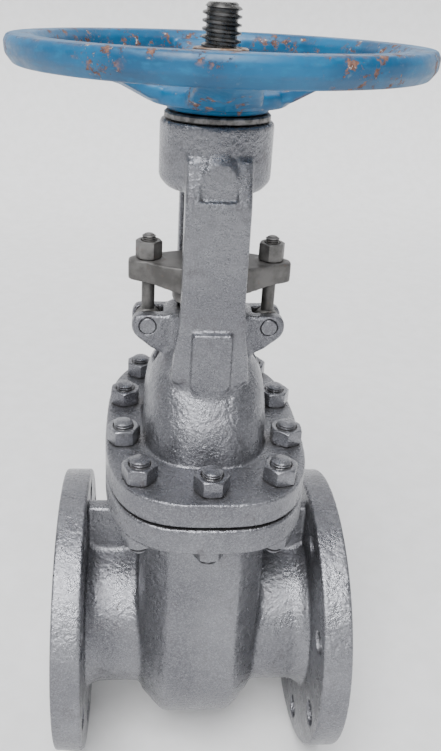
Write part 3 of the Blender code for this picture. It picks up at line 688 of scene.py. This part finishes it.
def stud(name, radius, low, high, pitch, top_thread, bottom_thread, sides=28):
    """A stud with threads at one or both ends and rounded tips."""
    root = radius - 0.62 * pitch
    run = [(0, high), (root * 0.72, high - 0.1), (root * 0.95, high - 0.8)]
    run += thread_run(radius, root, top_thread, high - 0.9, pitch)
    if bottom_thread:
        run += [(radius - 0.2, top_thread - 1.2), (radius - 0.2, bottom_thread + 1.2)]
        run += thread_run(radius, root, low + 0.9, bottom_thread, pitch)
        run += [(root * 0.95, low + 0.8), (root * 0.72, low + 0.1), (0, low)]
    else:
        run += [(radius - 0.2, top_thread - 1.2), (radius - 0.2, low), (0, low)]
    return lathe(name, run, sides)


def nut(name, flats, bore, low, high):
    """A hexagon nut with its corners turned off at 30 degrees, flats to the front."""
    corner = flats / math.sqrt(3)
    hexagon = [(corner * math.cos(math.radians(60 * i)), corner * math.sin(math.radians(60 * i)))
               for i in range(6)]
    item = prism(name, hexagon, low, high)
    flat = flats / 2 * 0.97
    drop = (corner + 1 - flat) * math.tan(math.radians(30))
    turned_off = [(0, high), (flat, high), (corner + 1, high - drop), (corner + 1, low + drop),
                  (flat, low), (0, low)]
    boolean(item, lathe("turned_off", turned_off, 48), "INTERSECT")
    hole = [(0, high + 2), (bore + 2.5, high + 2), (bore + 0.9, high + 0.001), (bore, high - 1.0),
            (bore, low + 1.0), (bore + 0.9, low - 0.001), (bore + 2.5, low - 2), (0, low - 2)]
    boolean(item, lathe("hole", hole, 24), "DIFFERENCE")
    return bevel(item, 0.35)


def build_bonnet_bolting(surface):
    """The ten studs of the bonnet joint, each with a nut above and a nut below."""
    upper = nut("upper_nut", STUD_NUT_FLATS, STUD_NUT_BORE, *UPPER_NUT_Z)
    lower = nut("lower_nut", STUD_NUT_FLATS, STUD_NUT_BORE, *LOWER_NUT_Z)
    plain = stud("stud", STUD_R, *STUD_Z, STUD_PITCH, 182, 144)
    for i, (x, y) in enumerate(STUD_PLACES, start=1):
        kinds = ((upper, "bonnet_nut", NUT_TURNS[i - 1]), (lower, "body_nut", 0),
                 (plain, "bonnet_stud", 36 * i))
        for model, node, turn in kinds:
            copy = bpy.data.objects.new("copy", model.data.copy())
            bpy.context.scene.collection.objects.link(copy)
            spin = Matrix.Rotation(math.radians(turn), 4, "Z")
            copy.data.transform(Matrix.Translation((x * MM, y * MM, 0)) @ spin)
            name = f"{node}_{i:02d}"
            shown = name.replace("_", "_detail_", 1)
            settle(copy, shown, "valve_body", surface, [name], 35)
    for model in (upper, lower, plain):
        bpy.data.objects.remove(model, do_unlink=True)


# Stem, sleeve and gland

def build_stem(surface):
    """The smooth stem with its T-head, collar and left-hand thread."""
    root = THREAD_ROOT_R
    crest = THREAD_R
    lead = THREAD_LEAD
    low, high = THREAD_Z
    section = [(root, 0.0), (root + 0.2, 0.25), (crest - 0.15, 1.0), (crest, 1.15), (crest, 2.25),
               (crest - 0.15, 2.4), (root + 0.2, 3.15), (root, 3.4)]
    turns = int((high - low) / lead)
    shape = bmesh.new()
    columns = []
    for i in range(turns * THREAD_SIDES + 1):
        angle = -2 * math.pi * i / THREAD_SIDES
        rise = lead * i / THREAD_SIDES
        columns.append([shape.verts.new((r * math.cos(angle), r * math.sin(angle), low + z + rise))
                        for r, z in section + [(root, lead)]])
    for left, right in zip(columns, columns[1:]):
        for k in range(len(section)):
            shape.faces.new((left[k], left[k + 1], right[k + 1], right[k]))
    bmesh.ops.remove_doubles(shape, verts=shape.verts, dist=0.001)
    for middle in (low + lead / 2, low + lead * turns + lead / 2):
        centre = shape.verts.new((0, 0, middle))
        rim = [e for e in shape.edges if e.is_boundary and abs(e.verts[0].co.z - middle) < lead]
        for edge in rim:
            shape.faces.new((edge.verts[0], edge.verts[1], centre))
    stem = make_object("stem_detail", shape)
    ends = [(0, STEM_TOP_Z), (8.6, STEM_TOP_Z), (9.6, 489.1), (14, 484.6), (14, 323), (9, 318), (0, 318)]
    boolean(stem, lathe("ends", ends, 72), "INTERSECT")
    shaft = [(0, 322), (9.5, 322), (STEM_R, 318.6), (STEM_R, 96), (17, 93), (17, 85), (10, 85), (10, 64),
             (0, 64)]
    head = bevel(block("head", (-13, -16, 60), (13, 16, 68)), 0.6)
    stem = gather([stem, lathe("shaft", shaft, 72), head])
    settle(stem, "stem_detail", "stem", surface, ["stem"], 30)


def build_sleeve(surface, steel):
    """The yoke sleeve, threaded at its top, and the ring that holds it down in the hub."""
    run = [(13.4, 461), (14.2, 462), (17.6, 462), (18.6, 461.2)]
    run += thread_run(SLEEVE_R, 18.2, 444, 461, SLEEVE_PITCH)
    run += [(SLEEVE_R, 443), (SLEEVE_R, 421.7), (22, 421.7), (22, 392), (30, 392), (30, 380.3),
            (24, 380.3), (24, 369.4), (23, SLEEVE_BOTTOM_Z), (14.4, SLEEVE_BOTTOM_Z), (13.4, 369.4)]
    sleeve = lathe("sleeve", run, 72)
    keyway = block("keyway", (-KEYWAY_HALF_WIDTH, 15.9, 424), (KEYWAY_HALF_WIDTH, 24, 470))
    boolean(sleeve, keyway, "DIFFERENCE")
    settle(sleeve, "sleeve_detail", "handwheel", surface, ["yoke_sleeve"], 30)

    ring = [(22.5, 420.6), (23.4, 421.4), (28.6, 421.4), (29.0, 420.8), (30.2, 420.8), (30.6, 421.4),
            (35.2, 421.4), (36.2, 420.4), (36.2, 417.6), (35.6, 416.8), (29.9, 416.8), (29.9, 392.4),
            (22.5, 392.4)]
    retainer = lathe("retainer", ring, 96)
    settle(retainer, "retainer_detail", "valve_body", steel, ["yoke_sleeve_retainer"], 30)


def build_wheel_fixings(rusty, steel):
    """The nut on top of the handwheel, and the key between the wheel and the sleeve."""
    item = nut("wheel_nut", WHEEL_NUT_FLATS, WHEEL_NUT_BORE, *WHEEL_NUT_Z)
    settle(item, "handwheel_nut_detail", "handwheel", rusty, ["handwheel_nut"], 35)
    key = bevel(block("key", (-KEY_HALF_WIDTH, 16.2, 424.5), (KEY_HALF_WIDTH, 23, 442.5)), 0.4)
    settle(key, "handwheel_key_detail", "handwheel", steel, ["handwheel_key"], 35)


def build_gland(cast, steel, painted):
    """The oval gland flange with its follower, eyebolts, pins and nuts."""
    plan = []
    for i in range(96):
        t = 2 * math.pi * (i + 0.5) / 96
        x = 59.4 * math.copysign(abs(math.cos(t)) ** 0.82, math.cos(t))
        swell = 14.0 + 11.2 * max(0.0, 1 - (abs(x) / 46) ** 2.2)
        plan.append((x, swell * math.copysign(abs(math.sin(t)) ** 0.62, math.sin(t))))
    flange = prism("gland", plan, *GLAND_Z)
    for sign in (-1, 1):
        boolean(flange, rod("nut_pad", 11, 310, GLAND_PAD_Z, (sign * GLAND_X, 0, 0)), "UNION")
    under = [(-66, 286), (-66, 302.2), (-42, 300.8), (-22, 296.9),
             (22, 296.9), (42, 300.8), (66, 302.2), (66, 286)]
    boolean(flange, front_prism("under", under, -40, 40), "DIFFERENCE")
    remesh(flange, 0.95, 7)
    cuts = [rod("hole", 14.8, 280, 330)]
    cuts += [rod("hole", 5.9, 280, 330, (sign * GLAND_X, 0, 0)) for sign in (-1, 1)]
    boolean(flange, gather(cuts), "DIFFERENCE")
    settle(flange, "gland_flange_detail", "gland", cast, ["gland_flange"], 40)

    run = [(13.7, 296.4), (24, 296.4), (26.4, 295), (27, 293.4), (27, 288.2), (26.4, 287.5),
           (20.8, 287.5), (20.8, 262.6), (20.2, 261.9), (13.7, 261.9)]
    follower = lathe("follower", run, 72)
    settle(follower, "gland_follower_detail", "gland", steel, ["gland_follower"], 30)

    for sign, side in ((-1, "left"), (1, "right")):
        x = sign * GLAND_X
        bolt = stud("eyebolt", EYEBOLT_R, 272, 335, EYEBOLT_PITCH, 300, None, 24)
        bolt.data.transform(Matrix.Translation((x * MM, 0, 0)))
        eye = [(0, 5.5), (8.4, 5.5), (9.6, 4.0), (9.9, 1.5),
               (9.9, -1.5), (9.6, -4.0), (8.4, -5.5), (0, -5.5)]
        ring = lathe("eye", eye, 48, Matrix.Translation((x, 0, PIN_Z)) @ ALONG_Y)
        boolean(bolt, ring, "UNION")
        boolean(bolt, rod("eye_hole", PIN_HOLE_R, -20, 20, (x, 0, PIN_Z), ALONG_Y), "DIFFERENCE")
        node = "eyebolt_" + side
        settle(bolt, "eyebolt_detail_" + side, "valve_body", steel, [node], 30)

        shank = [(0, 16.2), (5.5, 16.2), (6.0, 15.7), (6.0, -15.7), (5.5, -16.2), (0, -16.2)]
        pin = lathe("pin", shank, 40, Matrix.Translation((x, 0, PIN_Z)) @ ALONG_Y)
        node = "eyebolt_pin_" + side
        settle(pin, "pin_detail_" + side, "valve_body", painted, [node], 30)

        item = nut("gland_nut", GLAND_NUT_FLATS, GLAND_NUT_BORE, *GLAND_NUT_Z)
        spin = Matrix.Rotation(math.radians(10 * sign), 4, "Z")
        item.data.transform(Matrix.Translation((x * MM, 0, 0)) @ spin)
        body = "gland_nut_" + side
        settle(item, "gland_nut_detail_" + side, body, steel, [body], 35)


# Handwheel

def build_handwheel(surface):
    """The handwheel: rim, spokes that rise outwards, and hub, bored and with a keyway."""
    rim = [(137, 467.2), (139.2, 463), (138.7, 455.8), (134, 449.4),
           (122, 449.2), (116.6, 455), (116.6, 462), (121, 467.2)]
    blank = [lathe("wheel", rim, 192)]
    # Along a spoke: distance from the axis, half width, heights of its top, edges and lower ridge
    stations = [(26, 25, 437, 429, 425), (46, 23.5, 441, 431, 426.5), (66, 21, 448, 441, 436.5),
                (84, 20, 453.5, 446, 441.5), (100, 21.5, 458, 450, 445.6), (112, 25, 460.5, 452, 448.6),
                (125, 32, 462, 453, 450.5)]
    for i in range(SPOKES):
        rings = []
        for reach, half, top, edge, ridge in stations:
            rings.append([(reach, -half, top - 1.2), (reach, -half * 0.6, top + 0.3),
                          (reach, half * 0.6, top + 0.3), (reach, half, top - 1.2),
                          (reach, half, edge), (reach, 0, ridge), (reach, -half, edge)])
        blank.append(loft("spoke", rings, Matrix.Rotation(2 * math.pi * i / SPOKES, 4, "Z")))
    hub = [(0, 443), (31, 443), (46, 436), (46, 427), (36, 426), (34, 422.4), (0, 422.4)]
    blank.append(lathe("wheel_hub", hub, 128))
    wheel = remesh(gather(blank), 1.25, 4)
    boolean(wheel, rod("bore", WHEEL_BORE_R, 415, 450, (0, 0, 0), None, 72), "DIFFERENCE")
    keyway = block("keyway", (-KEYWAY_HALF_WIDTH, 10, 415), (KEYWAY_HALF_WIDTH, 23.3, 450))
    boolean(wheel, keyway, "DIFFERENCE")
    settle(wheel, "handwheel_detail", "handwheel", surface, ["handwheel"], 60)


# Surroundings

def build_stage():
    """A pale floor that turns up into a wall behind, and soft lights."""
    surface = Surface("floor_paper")
    grain = surface.noise(40, 4)
    colour = surface.blend(surface.ramp(grain, 0.3, 0.7), (0.66, 0.66, 0.66), (0.70, 0.70, 0.705))
    surface.bump(grain, 0.2, 0.2)
    paper = surface.done(colour, 0.85)
    bend_y = WALL_Y - BEND_R
    run = [(FLOOR_FRONT_Y, 0), (bend_y, 0)]
    run += [(bend_y + BEND_R * math.sin(math.radians(a)), BEND_R - BEND_R * math.cos(math.radians(a)))
            for a in range(10, 91, 10)]
    run.append((WALL_Y, WALL_TOP_Z))
    shape = bmesh.new()
    left = [shape.verts.new((-FLOOR_HALF_WIDTH, y, z + FLOOR_Z - FLOOR_GAP)) for y, z in run]
    right = [shape.verts.new((FLOOR_HALF_WIDTH, y, z + FLOOR_Z - FLOOR_GAP)) for y, z in run]
    for i in range(len(run) - 1):
        shape.faces.new((left[i], right[i], right[i + 1], left[i + 1]))
    floor = make_object("floor", shape)
    floor.data.shade_smooth()
    floor.data.materials.append(paper)

    # Name, direction it comes from, strength, and spread in degrees
    lights = [("overhead", (-20, -50, 100), 5.0, 36), ("overhead_back", (15, 85, 75), 3.0, 40),
              ("front", (-15, -100, 70), 1.7, 40)]
    for name, direction, strength, spread in lights:
        lamp = bpy.data.lights.new(name, "SUN")
        lamp.energy = strength
        lamp.angle = math.radians(spread)
        item = bpy.data.objects.new(name, lamp)
        item.rotation_euler = Vector(direction).to_track_quat("Z", "Y").to_euler()
        bpy.context.scene.collection.objects.link(item)

    world = bpy.data.worlds.new("studio")
    world.use_nodes = True
    background = world.node_tree.nodes["Background"]
    background.inputs["Color"].default_value = (0.92, 0.95, 1.0, 1.0)
    background.inputs["Strength"].default_value = 0.3
    bpy.context.scene.world = world


def build_camera():
    """The camera, from its angles, the point it looks at and its distance."""
    azimuth = math.radians(CAMERA_AZIMUTH)
    elevation = math.radians(CAMERA_ELEVATION)
    roll = math.radians(CAMERA_ROLL)
    back = Vector((math.sin(azimuth) * math.cos(elevation), -math.cos(azimuth) * math.cos(elevation),
                   math.sin(elevation)))
    right = (-back).cross(Vector((0, 0, 1))).normalized()
    up = right.cross(-back)
    across = right * math.cos(roll) + up * math.sin(roll)
    upward = up * math.cos(roll) - right * math.sin(roll)
    place = Matrix((across, upward, back)).transposed().to_4x4()
    place.translation = (Vector(CAMERA_TARGET) + back * CAMERA_DISTANCE) * MM
    lens = bpy.data.cameras.new("camera")
    lens.sensor_width = CAMERA_SENSOR
    lens.lens = CAMERA_LENS
    lens.shift_x = CAMERA_SHIFT[0]
    lens.shift_y = CAMERA_SHIFT[1]
    lens.clip_start = 0.01
    camera = bpy.data.objects.new("camera", lens)
    camera.matrix_world = place
    bpy.context.scene.collection.objects.link(camera)
    bpy.context.scene.camera = camera


def dress_remaining_nodes(looks):
    """Materials for the CAD nodes that are shown as they are."""
    for name, surface in looks.items():
        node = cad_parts[name]
        node.data.materials.clear()
        node.data.materials.append(surface)


build_stage()
build_camera()
SHELL = silver_paint("shell_silver_paint", 1.0, 1.0, 0.6)
BOLTING = silver_paint("bolting_silver_paint", 0.5, 0.25, 0.5)
STEEL = bare_metal("dark_steel", (0.075, 0.073, 0.070), (0.19, 0.185, 0.18), 0.15)
CAST = bare_metal("dark_casting", (0.070, 0.067, 0.064), (0.155, 0.15, 0.145), 0.1, 0.45,
                  (0.4, 0.62))
RUSTY = bare_metal("rusty_nut", (0.10, 0.06, 0.045), (0.20, 0.12, 0.09), 1.0, 0.35, (0.5, 0.75))
STEM = turned_metal("stem_metal", (0.10, 0.098, 0.095), (0.21, 0.205, 0.20))
SLEEVE = bare_metal("sleeve_bronze", (0.13, 0.075, 0.05), (0.30, 0.19, 0.12), 0.8, 0.6,
                    (0.4, 0.65), (0.12, 0.07, 0.05))
TRIM = turned_metal("ground_stainless", (0.42, 0.42, 0.43), (0.62, 0.62, 0.63), (0.18, 0.3),
                    (40.0, 1.0, 1.0))
GRAPHITE = graphite("pressed_graphite")
build_body(SHELL)
build_bonnet(SHELL)
build_bonnet_bolting(BOLTING)
build_stem(STEM)
build_sleeve(SLEEVE, STEEL)
build_wheel_fixings(RUSTY, STEEL)
build_gland(CAST, STEEL, BOLTING)
build_handwheel(blue_paint())
dress_remaining_nodes({"bonnet_gasket": GRAPHITE, "packing_set": GRAPHITE, "backseat_bush": TRIM,
                       "seat_ring_inlet": TRIM, "seat_ring_outlet": TRIM, "wedge": TRIM})
